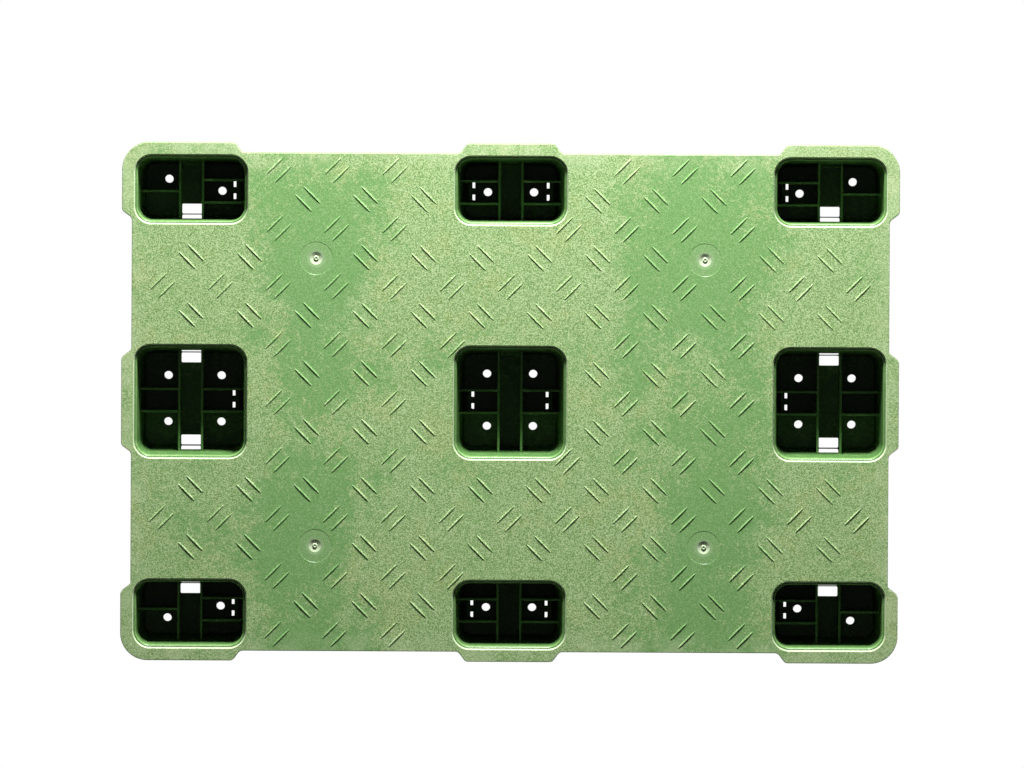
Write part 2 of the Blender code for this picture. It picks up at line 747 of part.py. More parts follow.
def make_hook(name, place, side, parts, cutters, material):
    """A springy tongue, round at its root, with a narrow nose that catches the leg floor.

    Its own +X points away from the leg's centre, and its origin is on the line it flexes about.
    """
    radius = HOOK_THICKNESS / 2
    nose_low = FLOOR_TOP + GAP - place.z
    top = nose_low + NOSE_HEIGHT
    root = [
        (radius * cos(angle), radius * sin(angle))
        for angle in (pi + pi * k / ROOT_STEPS for k in range(ROOT_STEPS + 1))
    ]
    bm = bmesh.new()
    crown = [(radius, top - NOSE_TIP / 2), (radius - NOSE_TIP / 2, top), (-radius, top)]
    add_prism(bm, [*root, *crown], HOOK_WIDTH)
    hook = new_object(name, bm, parts, material)
    hook.location = place
    hook.rotation_euler.z = 0 if side > 0 else pi

    reach = radius + HOOK_SLIT + NOSE_CATCH
    bm = bmesh.new()
    profile = [
        (0, nose_low),
        (-reach, nose_low),
        (-reach, nose_low + NOSE_TIP),
        (-radius, top - NOSE_TIP / 2),
        (0, top - NOSE_TIP / 2),
    ]
    add_prism(bm, profile, NOSE_WIDTH)
    nose = new_object(f"{name}_nose", bm, cutters)
    combine(hook, nose, "UNION")
    nose.rotation_euler = hook.rotation_euler


def main():
    empty_scene()
    parts = new_collection("plastic_pallet")
    cutters = new_collection("plastic_pallet_cutters")
    green = plastic("green_polyethylene", (0.33, 0.53, 0.18), 0.5)
    make_deck(parts, cutters, green)
    for column in COLUMNS:
        for row in ROWS:
            make_leg(column, row, parts, cutters, green)
    root_height = RUNNER_FLOOR + GAP + HOOK_THICKNESS / 2
    for row in ROWS:
        make_runner(row, parts, cutters, green)
        tongues = [
            (column * LEG_X + tongue_place(column, row, side), side)
            for column in COLUMNS
            for side in hook_sides(column)
        ]
        for number, (x, side) in enumerate(tongues, 1):
            place = Vector((x, row * LEG_Y + lane_y(row), root_height))
            make_hook(f"hook_{ROWS[row]}_{number}", place, side, parts, cutters, green)


main()
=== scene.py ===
import json
from math import atan2, ceil, cos, hypot, pi, radians, sin, tan

import bmesh
import bpy
from mathutils import Matrix, Vector


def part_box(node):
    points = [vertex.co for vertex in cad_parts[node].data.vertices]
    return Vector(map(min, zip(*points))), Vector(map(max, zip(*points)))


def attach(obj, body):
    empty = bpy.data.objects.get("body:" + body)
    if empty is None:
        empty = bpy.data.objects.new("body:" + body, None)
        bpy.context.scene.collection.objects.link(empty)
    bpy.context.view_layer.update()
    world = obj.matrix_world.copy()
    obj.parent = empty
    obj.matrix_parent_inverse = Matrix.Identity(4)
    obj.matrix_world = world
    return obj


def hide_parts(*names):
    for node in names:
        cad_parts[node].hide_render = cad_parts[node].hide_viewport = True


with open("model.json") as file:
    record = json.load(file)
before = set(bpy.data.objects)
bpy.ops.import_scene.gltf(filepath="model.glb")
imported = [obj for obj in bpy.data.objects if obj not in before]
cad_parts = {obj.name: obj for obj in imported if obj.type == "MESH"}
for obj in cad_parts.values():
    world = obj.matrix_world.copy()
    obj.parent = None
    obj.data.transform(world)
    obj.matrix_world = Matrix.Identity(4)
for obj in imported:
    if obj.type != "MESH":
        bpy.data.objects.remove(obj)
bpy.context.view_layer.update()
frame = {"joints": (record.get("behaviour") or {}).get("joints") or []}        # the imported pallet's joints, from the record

# ---------------------------------------------------------------------------------------------
# Deck
# The top of one large injection moulding in green polyethylene. It is a closed skin with raised
# tread bars and nine pockets, a skirt round its edge, and a grid of ribs underneath. The molten
# plastic came in at four gates, whose round marks are still on the surface.
# ---------------------------------------------------------------------------------------------
deck_low, deck_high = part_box("deck_panel")
HALF_LENGTH = deck_high.x
HALF_WIDTH = deck_high.y
TREAD_HEIGHT = 0.0012
DECK_TOP = deck_high.z - TREAD_HEIGHT
DECK_LOW = deck_low.z
SKIN = 0.0045
SKIRT_WALL = 0.0036
GAP = 0.0003
EDGE_STEP = 0.0154
EDGE_ROUND = 0.0012
SKIRT_ROUND = 0.0008
CORNER_RADIUS = 0.042
TAB_SLANT = 0.0115
TAB_SHORT = 0.0215
TAB_FILLET = 0.008
DECK_RIB = 0.0035
RIB_PITCH = 0.090
RIM_ROUND = 0.003
RIM_START = radians(28)
LIP_WIDTH = 0.0022  # in plan; the lip is much deeper than it is wide
LIP_DROP = 0.0042
LIP_STEPS = 6
LEDGE = 0.003
LEDGE_LAP = 0.0035
POCKET_RADIUS = 0.028
OVERSHOOT = 0.002

COLUMNS = {-1: "left", 0: "middle", 1: "right"}
ROWS = {-1: "front", 0: "middle", 1: "back"}
LEGS = [(column, row) for column in COLUMNS for row in ROWS]


def leg_name(column, row):
    return "leg_centre" if column == row == 0 else f"leg_{ROWS[row]}_{COLUMNS[column]}"


def pocket(column, row):
    """Centre of a pocket, and half its length and width at the rim."""
    low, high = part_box(leg_name(column, row))
    lap = LEDGE_LAP - RIM_ROUND
    return (low + high) / 2, (high.x - low.x) / 2 - lap, (high.y - low.y) / 2 - lap


def rounded(corners, steps):
    """Points of a closed outline of (x, y, radius) corners, each turned with an arc."""
    points = []
    for i, (x, y, radius) in enumerate(corners):
        corner = Vector((x, y))
        back = (Vector(corners[i - 1][:2]) - corner).normalized()
        ahead = (Vector(corners[(i + 1) % len(corners)][:2]) - corner).normalized()
        half = back.angle(ahead) / 2
        centre = corner + (back + ahead).normalized() * radius / sin(half)
        start = corner + back * radius / tan(half) - centre
        end = corner + ahead * radius / tan(half) - centre
        turn = atan2(start.cross(end), start.dot(end))
        count = steps(radius)
        points += [centre + Matrix.Rotation(turn * k / count, 2) @ start for k in range(count + 1)]
    return points


def inset(corners, distance):
    """A counter-clockwise outline, moved in by a distance."""
    moved = []
    for i, (x, y, radius) in enumerate(corners):
        corner = Vector((x, y))
        before = (corner - Vector(corners[i - 1][:2])).normalized()
        after = (Vector(corners[(i + 1) % len(corners)][:2]) - corner).normalized()
        normal_before = Vector((-before.y, before.x))
        normal_after = Vector((-after.y, after.x))
        shift = (normal_before + normal_after) * distance / (1 + normal_before.dot(normal_after))
        radius += -distance if before.cross(after) > 0 else distance
        moved.append((*(corner + shift), radius))
    return moved


def slab_corners(x0, x1, y0, y1, radius):
    return [(x0, y0, radius), (x1, y0, radius), (x1, y1, radius), (x0, y1, radius)]


def fine_steps(_radius):
    return 12


def outline_steps(radius):
    return 16 if radius > CORNER_RADIUS / 2 else 4


def add_loft(bm, rings):
    """A closed solid through (points, z) rings with equal point counts, capped at both ends."""
    loops = [[bm.verts.new((x, y, z)) for x, y in points] for points, z in rings]
    for lower, upper in zip(loops, loops[1:]):
        for i in range(len(lower)):
            j = (i + 1) % len(lower)
            bm.faces.new((lower[i], lower[j], upper[j], upper[i]))
    bm.faces.new(loops[0][::-1])
    bm.faces.new(loops[-1])


def add_turned(bm, x, y, profile, steps):
    """A closed solid of circles: (radius, z) pairs round an upright axis."""
    turns = [2 * pi * k / steps for k in range(steps)]
    rings = [([(x + r * cos(a), y + r * sin(a)) for a in turns], z) for r, z in profile]
    add_loft(bm, rings)


def add_block(bm, low, high, top_low=None, top_high=None):
    """A box whose top may have its own extents in X and Y. Gives its vertices."""
    verts = bmesh.ops.create_cube(bm, size=1)["verts"]
    for vert in verts:
        up = vert.co.z > 0
        least = top_low if up and top_low else low
        most = top_high if up and top_high else high
        x = most[0] if vert.co.x > 0 else least[0]
        y = most[1] if vert.co.y > 0 else least[1]
        vert.co = (x, y, high[2] if up else low[2])
    return verts


def new_piece(name, bm):
    bmesh.ops.recalc_face_normals(bm, faces=bm.faces)
    mesh = bpy.data.meshes.new(name)
    bm.to_mesh(mesh)
    bm.free()
    piece = bpy.data.objects.new(name, mesh)
    bpy.context.scene.collection.objects.link(piece)
    return piece


def work(piece, operation, bm):
    """Cuts a solid out of a piece, adds it, or keeps only what both share, and settles the mesh."""
    tool = new_piece("tool", bm)
    tool.matrix_world = piece.matrix_world
    modifier = piece.modifiers.new("work", "BOOLEAN")
    modifier.operation = operation
    modifier.solver = "EXACT"
    modifier.object = tool
    graph = bpy.context.evaluated_depsgraph_get()
    worked = bpy.data.meshes.new_from_object(piece.evaluated_get(graph))
    piece.modifiers.clear()
    piece.data = worked
    bpy.data.objects.remove(tool, do_unlink=True)


def finish_surface(piece, material, crease=30):
    """Smooth shading that keeps real edges crisp and flat faces flat."""
    piece.data.materials.clear()
    piece.data.materials.append(material)
    piece.data.shade_smooth()
    piece.data.set_sharp_from_angle(angle=radians(crease))
    normals = piece.modifiers.new("flat_faces_lead", "WEIGHTED_NORMAL")
    normals.keep_sharp = True


def deck_corners():
    """The deck's outline, counter-clockwise, with a tab at each leg."""
    corner_centre, corner_x, corner_y = pocket(1, 1)
    middle_x, middle_y = pocket(0, 1)[1], pocket(1, 0)[2]
    sides = (
        (HALF_LENGTH, HALF_WIDTH, corner_centre.x, corner_x, middle_x),
        (HALF_WIDTH, HALF_LENGTH, corner_centre.y, corner_y, middle_y),
    )
    corners = []
    for turn in range(4):
        half, out, leg, corner_pocket, middle_pocket = sides[turn % 2]
        end_tab = leg - (corner_pocket - TAB_SHORT)
        middle_tab = middle_pocket - TAB_SHORT
        back = -out + EDGE_STEP
        side = [(-half, -out, CORNER_RADIUS)]
        for along, depth in (
            (-end_tab, -out),
            (-end_tab + TAB_SLANT, back),
            (-middle_tab - TAB_SLANT, back),
            (-middle_tab, -out),
            (middle_tab, -out),
            (middle_tab + TAB_SLANT, back),
            (end_tab - TAB_SLANT, back),
            (end_tab, -out),
        ):
            side.append((along, depth, TAB_FILLET))
        rotation = Matrix.Rotation(turn * pi / 2, 2)
        corners += [(*(rotation @ Vector((x, y))), radius) for x, y, radius in side]
    return corners


def round_over(radius, steps=4):
    """(distance out, drop) pairs down a quarter circle, from its flat top to its upright side."""
    turns = [pi / 2 * k / steps for k in range(steps + 1)]
    return [(radius * sin(a), radius * (1 - cos(a))) for a in turns]


outline = deck_corners()
bm = bmesh.new()
rings = [(rounded(inset(outline, SKIRT_ROUND), outline_steps), DECK_LOW)]
rings.append((rounded(outline, outline_steps), DECK_LOW + SKIRT_ROUND))
for out, drop in reversed(round_over(EDGE_ROUND)):
    rings.append((rounded(inset(outline, EDGE_ROUND - out), outline_steps), DECK_TOP - drop))
add_loft(bm, rings)
deck = new_piece("deck", bm)

# The hollow underside, with its ribs left standing.
bays = bmesh.new()
for i in range(-ceil(HALF_LENGTH / RIB_PITCH), ceil(HALF_LENGTH / RIB_PITCH)):
    for j in range(-ceil(HALF_WIDTH / RIB_PITCH), ceil(HALF_WIDTH / RIB_PITCH)):
        x, y = (i + 0.5) * RIB_PITCH, (j + 0.5) * RIB_PITCH
        half = (RIB_PITCH - DECK_RIB) / 2
        low = (x - half, y - half, DECK_LOW - 2 * OVERSHOOT)
        add_block(bays, low, (x + half, y + half, DECK_TOP))
bm = bmesh.new()
inside = rounded(inset(outline, SKIRT_WALL), outline_steps)
add_loft(bm, [(inside, DECK_LOW - OVERSHOOT), (inside, DECK_TOP - SKIN)])
hollow = new_piece("hollow", bm)
work(hollow, "INTERSECT", bays)
bm = bmesh.new()
bm.from_mesh(hollow.data)
bpy.data.objects.remove(hollow, do_unlink=True)
work(deck, "DIFFERENCE", bm)

# Room for the legs' collars, then the pockets' openings with their rounded rims.
seats, openings = bmesh.new(), bmesh.new()
for column, row in LEGS:
    centre, half_x, half_y = pocket(column, row)

    def ring(outward, z):
        x, y, radius = half_x + outward, half_y + outward, POCKET_RADIUS + outward
        corners = slab_corners(centre.x - x, centre.x + x, centre.y - y, centre.y + y, radius)
        return rounded(corners, fine_steps), z

    seat = LEDGE_LAP - RIM_ROUND + GAP
    add_loft(seats, [ring(seat, DECK_LOW - OVERSHOOT), ring(seat, DECK_TOP - SKIN)])
    rings = [ring(-LIP_WIDTH, DECK_TOP - SKIN - OVERSHOOT)]
    for k in range(LIP_STEPS, -1, -1):
        slope = RIM_START + (pi / 2 - RIM_START) * k / LIP_STEPS
        inward = LIP_WIDTH * (sin(slope) - sin(RIM_START)) / (1 - sin(RIM_START))
        drop = LIP_DROP * (1 - cos(slope) / cos(RIM_START))
        rings.append(ring(-inward, DECK_TOP - drop))
    rings.append(ring(OVERSHOOT / 2, DECK_TOP + OVERSHOOT / 2))
    add_loft(openings, rings)
work(deck, "DIFFERENCE", seats)
work(deck, "DIFFERENCE", openings)

# Tread bars: lens-shaped ridges in pairs, rising and falling in turn over a square lattice.
TREAD_LENGTH = 0.040
TREAD_WIDTH = 0.0047
TREAD_PAIR_GAP = 0.018
TREAD_PITCH = 0.0895
TREAD_CLEAR = 0.001
TREAD_ROOT = 0.001
TREAD_STATIONS = 10
# Half-widths to the side and heights of the ridge's section; -1 is its root in the skin
TREAD_SECTION = ((-1, -1), (-1, 0), (0, 1), (1, 0), (1, -1))
GATE_X = 0.300
GATE_Y = 0.222
GATE_DISC_RADIUS = 0.0255
GATE_DISC_DEPTH = 0.0003
GATE_DIMPLE_DEPTH = 0.0022
GATE_STUB_HEIGHT = 0.0019
GATE_STEPS = 48


def rounded_distance(x, y, half_x, half_y, radius):
    """How far a point is outside a rounded rectangle, negative inside."""
    dx, dy = abs(x) - half_x + radius, abs(y) - half_y + radius
    return hypot(max(dx, 0), max(dy, 0)) + min(max(dx, dy), 0) - radius


def on_open_deck(x, y):
    """Whether a point of a tread bar is clear of the deck's edges, pockets and gates."""
    reach = TREAD_CLEAR + TREAD_WIDTH / 2
    if abs(x) > HALF_LENGTH - EDGE_STEP - reach or abs(y) > HALF_WIDTH - EDGE_STEP - reach:
        return False
    for column, row in LEGS:
        centre, half_x, half_y = pocket(column, row)
        if rounded_distance(x - centre.x, y - centre.y, half_x, half_y, POCKET_RADIUS) < reach:
            return False
    return hypot(abs(x) - GATE_X, abs(y) - GATE_Y) > GATE_DISC_RADIUS + reach


def tread_bars():
    """Centre and direction of each bar."""
    bars = []
    across = ceil(2 * HALF_LENGTH / TREAD_PITCH)
    for i in range(-across, across + 1):
        for j in range(-across, across + 1):
            if (i + j) % 2:
                continue
            centre = Vector((i, j)) * TREAD_PITCH / 2
            along = Vector((1, 1 if i % 2 == 0 else -1)).normalized()
            aside = Vector((-along.y, along.x)) * TREAD_PAIR_GAP / 2
            pair = [centre + aside, centre - aside]
            reach = along * TREAD_LENGTH / 2
            if all(on_open_deck(*(bar + reach * k)) for bar in pair for k in (-1, 0, 1)):
                bars += [(bar, along) for bar in pair]
    return bars


def add_tread_bar(bm, centre, along):
    """A steep-sided ridge, highest and widest at its middle, that runs out to a point each way."""
    aside = Vector((-along.y, along.x))
    sections = []
    for k in range(1, TREAD_STATIONS):
        s = 2 * k / TREAD_STATIONS - 1
        swell = (1 - s * s) ** 0.5
        spine = centre + along * TREAD_LENGTH / 2 * s
        section = []
        for side, rise in TREAD_SECTION:
            place = spine + aside * TREAD_WIDTH / 2 * swell * side
            height = -TREAD_ROOT if rise < 0 else TREAD_HEIGHT * swell**0.8 * rise
            section.append(bm.verts.new((*place, DECK_TOP + height)))
        sections.append(section)
    count = len(TREAD_SECTION)
    for here, ahead in zip(sections, sections[1:]):
        for i in range(count):
            j = (i + 1) % count
            bm.faces.new((here[i], here[j], ahead[j], ahead[i]))
    for section, end in ((sections[0], -1), (sections[-1], 1)):
        tip = centre + along * TREAD_LENGTH / 2 * end
        point = bm.verts.new((*tip, DECK_TOP - TREAD_ROOT / 5))
        for i in range(count):
            bm.faces.new((section[i], section[(i + 1) % count], point))


bm = bmesh.new()
for bar, along in tread_bars():
    add_tread_bar(bm, bar, along)
work(deck, "UNION", bm)

# Gate marks: a faint disc, a conical dimple, and the broken stub of the sprue with its pit.
bm = bmesh.new()
disc_floor = DECK_TOP - GATE_DISC_DEPTH
dimple_floor = disc_floor - GATE_DIMPLE_DEPTH
stub_top = dimple_floor + GATE_STUB_HEIGHT
gate_profile = (
    (0.0008, stub_top - 0.0014),
    (0.0017, stub_top - 0.0002),
    (0.0022, stub_top),
    (0.0030, stub_top - 0.0002),
    (0.0039, stub_top - 0.0011),
    (0.0041, dimple_floor),
    (0.0047, dimple_floor),
    (0.0093, disc_floor - 0.0004),
    (0.0104, disc_floor - 0.0001),
    (0.0143, disc_floor - 0.0001),
    (0.0147, disc_floor),
    (GATE_DISC_RADIUS - 0.0002, disc_floor),
    (GATE_DISC_RADIUS + 0.0002, DECK_TOP),
    (GATE_DISC_RADIUS + 0.0002, DECK_TOP + OVERSHOOT),
)
for x in (-GATE_X, GATE_X):
    for y in (-GATE_Y, GATE_Y):
        add_turned(bm, x, y, gate_profile, GATE_STEPS)
work(deck, "DIFFERENCE", bm)


def add_node(tree, kind, links=None, **settings):
    """A shader node with its settings, and its sockets given as values or as outputs to link."""
    node = tree.nodes.new("ShaderNode" + kind)
    for key, value in settings.items():
        setattr(node, key, value)
    for key, value in (links or {}).items():
        if isinstance(value, bpy.types.NodeSocket):
            tree.links.new(value, node.inputs[key])
        else:
            node.inputs[key].default_value = value
    return node


def maths(tree, operation, a, b=0.0):
    return add_node(tree, "Math", {0: a, 1: b}, operation=operation).outputs[0]


def noise(tree, where, scale, detail=3.0, roughness=0.55, distortion=0.0):
    sockets = {
        "Vector": where,
        "Scale": scale,
        "Detail": detail,
        "Roughness": roughness,
        "Distortion": distortion,
    }
    return add_node(tree, "TexNoise", sockets).outputs["Fac"]


def between(tree, value, low, high, to_low=0.0, to_high=1.0):
    """A value eased from one range to another."""
    sockets = {"Value": value, "From Min": low, "From Max": high, "To Min": to_low, "To Max": to_high}
    return add_node(tree, "MapRange", sockets, interpolation_type="SMOOTHSTEP").outputs["Result"]


def blend_colour(tree, amount, first, second):
    node = add_node(tree, "Mix", data_type="RGBA", clamp_factor=True)
    for index, value in ((0, amount), (6, first), (7, second)):
        if isinstance(value, bpy.types.NodeSocket):
            tree.links.new(value, node.inputs[index])
        else:
            node.inputs[index].default_value = value
    return node.outputs[2]


def new_group(name, inputs, outputs):
    """A node group with float inputs, given as name to default, and named outputs."""
    tree = bpy.data.node_groups.new(name, "ShaderNodeTree")
    tree.interface.new_socket("Position", in_out="INPUT", socket_type="NodeSocketVector")
    for label, value in inputs.items():
        socket = tree.interface.new_socket(label, in_out="INPUT", socket_type="NodeSocketFloat")
        socket.default_value = value
    for label in outputs:
        tree.interface.new_socket(label, in_out="OUTPUT", socket_type="NodeSocketFloat")
    return tree, tree.nodes.new("NodeGroupInput"), tree.nodes.new("NodeGroupOutput")


# Abrasion: worn ground with a ragged border, and fine pale and dark flecks on it.
scuff, given, result = new_group(
    "scuff", {"Speckle": 120.0, "Grain": 320.0, "Wear": 0.5}, ("Worn", "Pale", "Dark", "Height")
)
where = given.outputs["Position"]
speckle = noise(scuff, where, given.outputs["Speckle"], detail=6.0, roughness=0.72)
ragged = maths(scuff, "MULTIPLY", maths(scuff, "SUBTRACT", speckle, 0.5), 2.2)
reach = maths(scuff, "ADD", given.outputs["Wear"], ragged)
worn = between(scuff, reach, 0.22, 0.78)
grain = noise(scuff, where, given.outputs["Grain"], detail=2.0, roughness=0.65)
patchy = between(scuff, reach, 0.1, 0.9, 0.35, 1.0)
pale = maths(scuff, "MULTIPLY", between(scuff, grain, 0.50, 0.61), patchy)
dark = maths(scuff, "MULTIPLY", between(scuff, grain, 0.50, 0.39), patchy)
scuff.links.new(worn, result.inputs["Worn"])
scuff.links.new(pale, result.inputs["Pale"])
scuff.links.new(dark, result.inputs["Dark"])
scuff.links.new(maths(scuff, "MULTIPLY", grain, patchy), result.inputs["Height"])


def new_material(name):
    material = bpy.data.materials.new(name)
    material.use_nodes = True
    tree = material.node_tree
    return material, tree, tree.nodes["Principled BSDF"]


def use_group(tree, group, where, **values):
    node = tree.nodes.new("ShaderNodeGroup")
    node.node_tree = group
    tree.links.new(where, node.inputs["Position"])
    for label, value in values.items():
        if isinstance(value, bpy.types.NodeSocket):
            tree.links.new(value, node.inputs[label])
        else:
            node.inputs[label].default_value = value
    return node


SMOOTH_GREEN = (0.185, 0.390, 0.124, 1)
WORN_GREEN = (0.300, 0.475, 0.175, 1)
YELLOWED = (0.390, 0.475, 0.165, 1)
CHALKY = (0.560, 0.690, 0.390, 1)
GRIMY = (0.110, 0.235, 0.062, 1)
# Painted shade: a dark colour for the rounding of the deck's outer edge.
PAINTED_EDGE_SHADE = (0.100, 0.125, 0.045, 1)
# Partly rubbing, partly painted highlight: a pale colour for the pockets' lips.
PALE_LIP_AND_HIGHLIGHT = (0.620, 0.700, 0.500, 1)
PATCH_STRETCH = 0.35
PATCH_REACH = 0.17


def flecked(tree, colour, scuffs, pale, dark):
    """A colour with the pale and dark flecks of abrasion on it."""
    colour = blend_colour(tree, maths(tree, "MULTIPLY", scuffs.outputs["Pale"], pale), colour, CHALKY)
    return blend_colour(tree, maths(tree, "MULTIPLY", scuffs.outputs["Dark"], dark), colour, GRIMY)


deck_plastic, tree, shader = new_material("deck_plastic")
where = add_node(tree, "TexCoord").outputs["Object"]
split = add_node(tree, "SeparateXYZ", {0: where})
across = maths(tree, "ABSOLUTE", split.outputs["X"])
along = maths(tree, "ABSOLUTE", split.outputs["Y"])


def length_of(tree, x, y):
    offset = add_node(tree, "CombineXYZ", {0: x, 1: y})
    return add_node(tree, "VectorMath", {0: offset.outputs[0]}, operation="LENGTH").outputs["Value"]


# The plastic stays smooth where it flowed in, in a tall patch round each gate.
from_gate_x = maths(tree, "SUBTRACT", across, GATE_X)
from_gate_y = maths(tree, "SUBTRACT", along, GATE_Y)
patch = length_of(tree, from_gate_x, maths(tree, "MULTIPLY", from_gate_y, PATCH_STRETCH))
cloud = noise(tree, where, 7.0, detail=6.0, roughness=0.62, distortion=0.3)
cloud = maths(tree, "MULTIPLY", maths(tree, "SUBTRACT", cloud, 0.5), 2.6)
wear = maths(tree, "ADD", between(tree, patch, 0.0, PATCH_REACH, 0.05, 0.85), cloud)
wear = between(tree, wear, -0.15, 1.15)
disc = length_of(tree, from_gate_x, from_gate_y)
disc = between(tree, disc, GATE_DISC_RADIUS + 0.0005, GATE_DISC_RADIUS - 0.0005)
wear = maths(tree, "MULTIPLY", wear, maths(tree, "SUBTRACT", 1.0, maths(tree, "MULTIPLY", disc, 0.9)))
scuffs = use_group(tree, scuff, where, Speckle=130.0, Grain=560.0, Wear=wear)
colour = blend_colour(tree, scuffs.outputs["Worn"], SMOOTH_GREEN, WORN_GREEN)
stain = between(tree, noise(tree, where, 17.0, detail=6.0, roughness=0.7), 0.50, 0.62)
stain = maths(tree, "MULTIPLY", stain, maths(tree, "MULTIPLY", scuffs.outputs["Worn"], 0.55))
colour = blend_colour(tree, stain, colour, YELLOWED)
colour = flecked(tree, colour, scuffs, 0.80, 0.85)
# Near the outline the colour turns paler: partly rubbing from handling, partly painted light.
edge_x = maths(tree, "SUBTRACT", HALF_LENGTH, across)
edge_y = maths(tree, "SUBTRACT", HALF_WIDTH, along)
edge = between(tree, maths(tree, "MINIMUM", edge_x, edge_y), 0.055, 0.010)
wear_and_painted_light = maths(tree, "MULTIPLY", edge, between(tree, noise(tree, where, 26.0, detail=6.0), 0.35, 0.65))
colour = blend_colour(tree, maths(tree, "MULTIPLY", wear_and_painted_light, 0.40), colour, CHALKY)
# Just under the deck's surface, painted shade darkens the outer edge's rounding, and the pockets' lips
# are painted pale: partly rubbing, partly painted highlight.
below = between(tree, split.outputs["Z"], DECK_TOP - 0.0002, DECK_TOP - 0.0008)
outer = between(tree, maths(tree, "MINIMUM", edge_x, edge_y), 0.0172, 0.0160)
lip = maths(tree, "MULTIPLY", below, maths(tree, "SUBTRACT", 1.0, outer))
colour = blend_colour(tree, maths(tree, "MULTIPLY", lip, 0.75), colour, PALE_LIP_AND_HIGHLIGHT)
painted_edge_shade = maths(tree, "MULTIPLY", below, outer)
colour = blend_colour(tree, maths(tree, "MULTIPLY", painted_edge_shade, 0.90), colour, PAINTED_EDGE_SHADE)
tree.links.new(colour, shader.inputs["Base Color"])
tree.links.new(between(tree, scuffs.outputs["Worn"], 0.0, 1.0, 0.36, 0.58), shader.inputs["Roughness"])
fine_grain = maths(tree, "MULTIPLY", noise(tree, where, 900.0), 0.2)
height = maths(tree, "ADD", scuffs.outputs["Height"], fine_grain)
bump = add_node(tree, "Bump", {"Height": height, "Strength": 0.45, "Distance": 0.0005})
tree.links.new(bump.outputs["Normal"], shader.inputs["Normal"])
finish_surface(deck, deck_plastic, crease=24)
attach(deck, "pallet")
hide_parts("deck_panel")

# ---------------------------------------------------------------------------------------------
# Legs
# Nine hollow legs, moulded with the deck. Their walls lean in towards the floor, so that pallets
# without runners can nest. Ribs stand inside, and the floors have drain holes and hook windows.
# ---------------------------------------------------------------------------------------------
COLLAR = 0.004
LEDGE_TUCK = 0.0002  # how far the ledge starts inside the lip
LEDGE_START = LEDGE + RIM_ROUND - LIP_WIDTH - LEDGE_TUCK  # outward from the wall, like the next
LEDGE_ROUND = 0.0026
LEDGE_ROUND_DROP = 0.006
LEDGE_STEPS = 6
LEG_WALL = 0.004
LEG_FLOOR = 0.004
FOOT_ROUND = 0.003
WALL_DRAFT = 0.011
WALL_DRAFT_INNER = 0.0025
CORNER_DRAFT = 0.0075
LEG_RIB = 0.0038
LEG_RIB_ROUND = 0.0008
CHANNEL_CLEAR = 0.0315
LANE_CLEAR = 0.0308
LEG_RIB_DROP = 0.055
WINDOW_DEPTH = 0.0153
WINDOW_BACK = 0.0007
WINDOW_BACK_INNER = 0.0050
WINDOW_SIDE_CLEAR = 0.0004
WINDOW_ROUND = 0.0018
WALL_WINDOW_BAR = 0.0015
WALL_WINDOW_HEIGHT = 0.050
DRAIN_RADIUS = 0.0065
DRAIN_STEPS = 32
DRAIN_X = 0.0357
DRAIN_X_INNER = 0.0465
DRAIN_Y_CENTRE_LEG = 0.0405
DRAIN_Y_SIDE_LEG = 0.0358
DRAIN_Y_OUTER_ROW = 0.0015
DRAIN_Y_CORNER_LEG = 0.0168

leg_low, leg_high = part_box("leg_centre")
COLLAR_TOP = leg_high.z
FLOOR_LOW = leg_low.z
FLOOR_TOP = FLOOR_LOW + LEG_FLOOR
LEG_RIB_TOP = DECK_TOP - LEG_RIB_DROP
CHANNEL_RIB_X = (CHANNEL_CLEAR + LEG_RIB) / 2
LANE_RIB_Y = (LANE_CLEAR + LEG_RIB) / 2


def lean(z):
    """0 at the ledge and 1 at the leg floor."""
    return (COLLAR_TOP - z) / (COLLAR_TOP - FLOOR_TOP)


def wall_extents(column, row, z):
    """Where the inner wall faces are at a height, from the leg's centre."""
    half_x, half_y = pocket(column, row)[1:]
    minus_x = WALL_DRAFT_INNER if column == 1 else WALL_DRAFT
    plus_x = WALL_DRAFT_INNER if column == -1 else WALL_DRAFT
    minus_y = WALL_DRAFT_INNER if row == 1 else WALL_DRAFT
    plus_y = WALL_DRAFT_INNER if row == -1 else WALL_DRAFT
    set_back = RIM_ROUND + LEDGE
    return (
        -half_x + set_back + minus_x * lean(z),
        half_x - set_back - plus_x * lean(z),
        -half_y + set_back + minus_y * lean(z),
        half_y - set_back - plus_y * lean(z),
    )


def floor_edge(column, row, side_x=0, side_y=0):
    """Distance from the leg's centre to the inner wall face at the floor, on one side."""
    x0, x1, y0, y1 = wall_extents(column, row, FLOOR_TOP)
    if side_x:
        return x1 if side_x > 0 else -x0
    return y1 if side_y > 0 else -y0


def window_start(edge, back=WINDOW_BACK):
    return edge - back - WINDOW_DEPTH


def lane_y(row):
    """Where the lane is, from the leg's centre: midway between the walls at the floor."""
    return (floor_edge(0, row, side_y=1) - floor_edge(0, row, side_y=-1)) / 2


def open_window_start(row, side):
    """The near edge of a window for a cross runner, on a side of an end leg."""
    back = WINDOW_BACK_INNER if side == -row else WINDOW_BACK
    return window_start(floor_edge(-1, row, side_y=side), back)


def wall_ring(column, row, z, outward, level=None):
    """A ring round a leg at height z, outward from the inner wall face as it is at a level."""
    level = z if level is None else level
    x0, x1, y0, y1 = wall_extents(column, row, level)
    radius = POCKET_RADIUS - RIM_ROUND - LEDGE - CORNER_DRAFT * lean(level) + outward
    corners = slab_corners(x0 - outward, x1 + outward, y0 - outward, y1 + outward, radius)
    return rounded(corners, fine_steps), z


def hook_sides(column):
    return (-1, 1) if column == 0 else (-column,)


def open_window_sides(column, row):
    if column == 0:
        return ()
    return (-1, 1) if row == 0 else (-row,)


